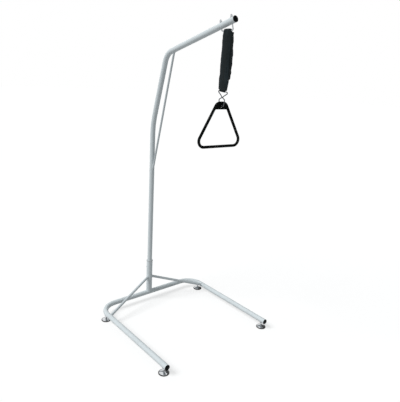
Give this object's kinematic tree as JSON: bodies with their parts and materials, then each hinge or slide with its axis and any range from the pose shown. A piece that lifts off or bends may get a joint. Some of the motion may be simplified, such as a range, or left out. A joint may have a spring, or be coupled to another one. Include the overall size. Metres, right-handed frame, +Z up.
{
  "type": "patient lifting pole",
  "caption": "Free-standing patient lifting pole: bent tube mast and boom on a U-shaped floor frame with levelling feet, and a sleeved strap carrying a triangular grab handle.",
  "frame": {"origin": "middle of the footprint, on the floor", "axes": "+Z up, -Y towards the open ends of the legs and the boom's tip, X across the frame"},
  "size_m": [0.787, 0.7452, 1.7407],
  "materials": {
    "powder_coat": "light silver-grey powder coat, satin",
    "brace_coat": "grey powder coat, satin",
    "chrome": "bright chrome plate",
    "zinc": "zinc plated steel",
    "black_plastic": "black moulded plastic, satin",
    "grey_plastic": "grey moulded plastic",
    "black_rubber": "black rubber",
    "black_cloth": "black woven webbing and padded cloth"
  },
  "bodies": {
    "base": {"base_frame": "powder_coat", "mast_socket": "powder_coat", "socket_bush": "grey_plastic", "brace_left": "brace_coat", "brace_right": "brace_coat", "clamp_boss": "powder_coat", "leg_end_cap_left": "black_plastic", "leg_end_cap_right": "black_plastic", "foot_insert_front_left": "zinc", "foot_insert_front_right": "zinc", "foot_insert_rear_left": "zinc", "foot_insert_rear_right": "zinc", "foot_lock_nut_front_left": "chrome", "foot_lock_nut_front_right": "chrome", "foot_lock_nut_rear_left": "chrome", "foot_lock_nut_rear_right": "chrome"},
    "clamp": {"clamp_screw": "zinc"},
    "mast": {"mast_tube": "powder_coat", "mast_foot_plug": "black_plastic", "strut_rod": "brace_coat", "boom_end_plug": "black_plastic", "strap_hanger": "zinc", "hanger_washer_inner": "zinc", "hanger_washer_outer": "zinc", "hanger_dome_nut_inner": "zinc", "hanger_dome_nut_outer": "zinc"},
    "strap": {"lifting_strap": "black_cloth", "strap_sleeve": "black_cloth"},
    "link": {"handle_link": "zinc"},
    "handle": {"triangle_handle": "black_plastic"},
    "foot_front_left": {"foot_stem_front_left": "zinc"},
    "glide_front_left": {"foot_glide_front_left": "chrome", "foot_pad_front_left": "black_rubber"},
    "foot_front_right": {"foot_stem_front_right": "zinc"},
    "glide_front_right": {"foot_glide_front_right": "chrome", "foot_pad_front_right": "black_rubber"},
    "foot_rear_left": {"foot_stem_rear_left": "zinc"},
    "glide_rear_left": {"foot_glide_rear_left": "chrome", "foot_pad_rear_left": "black_rubber"},
    "foot_rear_right": {"foot_stem_rear_right": "zinc"},
    "glide_rear_right": {"foot_glide_rear_right": "chrome", "foot_pad_rear_right": "black_rubber"}
  },
  "joints": [
    {"name": "mast_lift", "type": "slide", "parent": "base", "child": "mast", "axis": [0, 0, 1], "range_m": [0, 0.19]},
    {"name": "clamp_screw_travel", "type": "slide", "parent": "base", "child": "clamp", "axis": [0, 1, 0], "range_m": [0, 0.006]},
    {"name": "strap_swing", "type": "hinge", "parent": "mast", "child": "strap", "pos_m": [0, -0.25715, 1.6675], "axis": [0, 1, 0], "range_deg": [-60, 60]},
    {"name": "link_swing", "type": "hinge", "parent": "strap", "child": "link", "pos_m": [0, -0.24615, 1.3925], "axis": [0, 0.995, 0.0995], "range_deg": [-60, 60]},
    {"name": "handle_tip", "type": "hinge", "parent": "link", "child": "handle", "pos_m": [0, -0.24615, 1.319], "axis": [0.9977, -0.068, 0], "range_deg": [-20, 20]},
    {"name": "foot_travel_front_left", "type": "slide", "parent": "base", "child": "foot_front_left", "axis": [0, 0, -1], "range_m": [-0.006, 0.012]},
    {"name": "foot_swivel_front_left", "type": "hinge", "parent": "foot_front_left", "child": "glide_front_left", "pos_m": [-0.365, -0.34215, 0], "axis": [0, 0, 1], "continuous": true},
    {"name": "foot_travel_front_right", "type": "slide", "parent": "base", "child": "foot_front_right", "axis": [0, 0, -1], "range_m": [-0.006, 0.012]},
    {"name": "foot_swivel_front_right", "type": "hinge", "parent": "foot_front_right", "child": "glide_front_right", "pos_m": [0.365, -0.34215, 0], "axis": [0, 0, 1], "continuous": true},
    {"name": "foot_travel_rear_left", "type": "slide", "parent": "base", "child": "foot_rear_left", "axis": [0, 0, -1], "range_m": [-0.006, 0.012]},
    {"name": "foot_swivel_rear_left", "type": "hinge", "parent": "foot_rear_left", "child": "glide_rear_left", "pos_m": [-0.36198, 0.26285, 0], "axis": [0, 0, 1], "continuous": true},
    {"name": "foot_travel_rear_right", "type": "slide", "parent": "base", "child": "foot_rear_right", "axis": [0, 0, -1], "range_m": [-0.006, 0.012]},
    {"name": "foot_swivel_rear_right", "type": "hinge", "parent": "foot_rear_right", "child": "glide_rear_right", "pos_m": [0.36198, 0.26285, 0], "axis": [0, 0, 1], "continuous": true}
  ]
}
